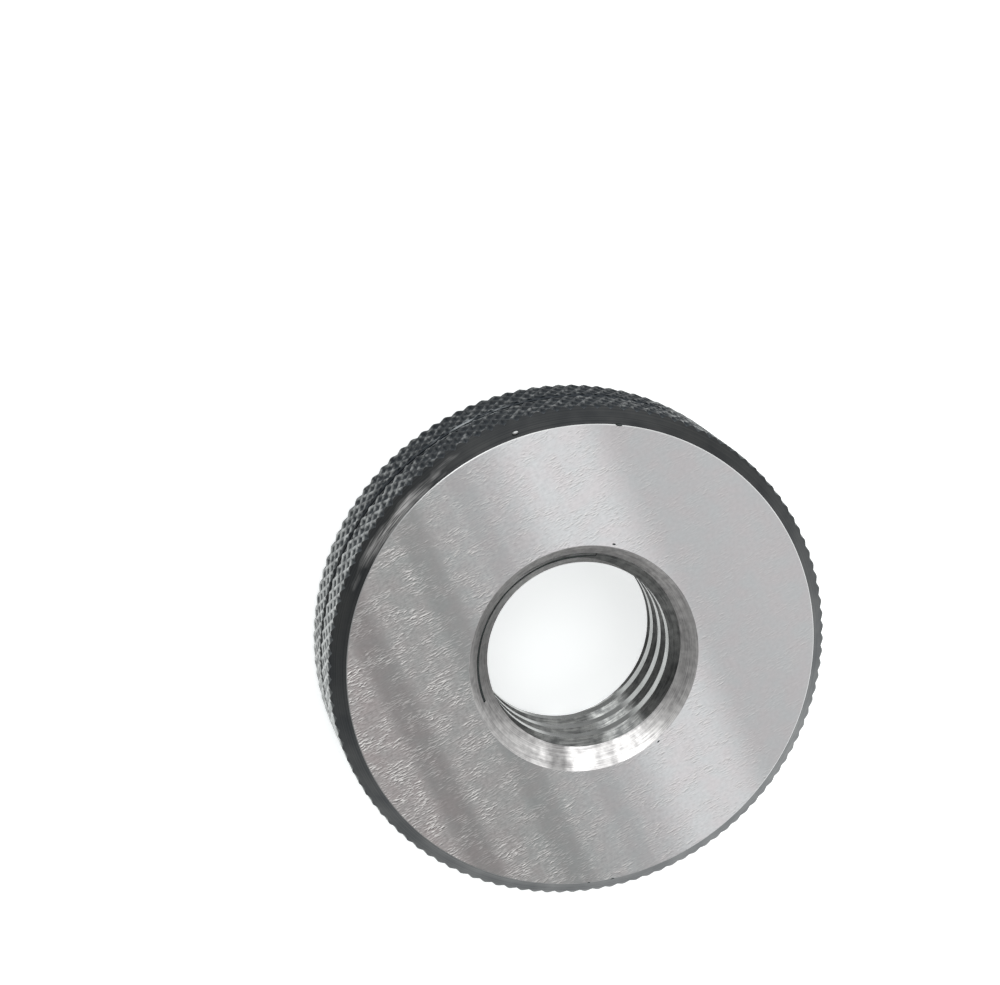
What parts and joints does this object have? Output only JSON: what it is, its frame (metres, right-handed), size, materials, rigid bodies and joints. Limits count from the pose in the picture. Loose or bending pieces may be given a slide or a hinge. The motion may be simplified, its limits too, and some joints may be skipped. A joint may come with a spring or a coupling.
{
  "type": "thread ring gauge",
  "caption": "Knurled steel not-go ring with a threaded bore, countersunk at both ends, for checking an external screw thread.",
  "frame": {"origin": "centre of the lower end face, on the bore's axis", "axes": "+Z along the bore, out of the upper end face; X and Y in the lower end face"},
  "size_m": [0.045, 0.045, 0.0118],
  "materials": {
    "gauge_steel": "lapped end faces, dark chamfers, satin knurl"
  },
  "bodies": {
    "root": {"gauge_ring": "gauge_steel"}
  },
  "joints": []
}
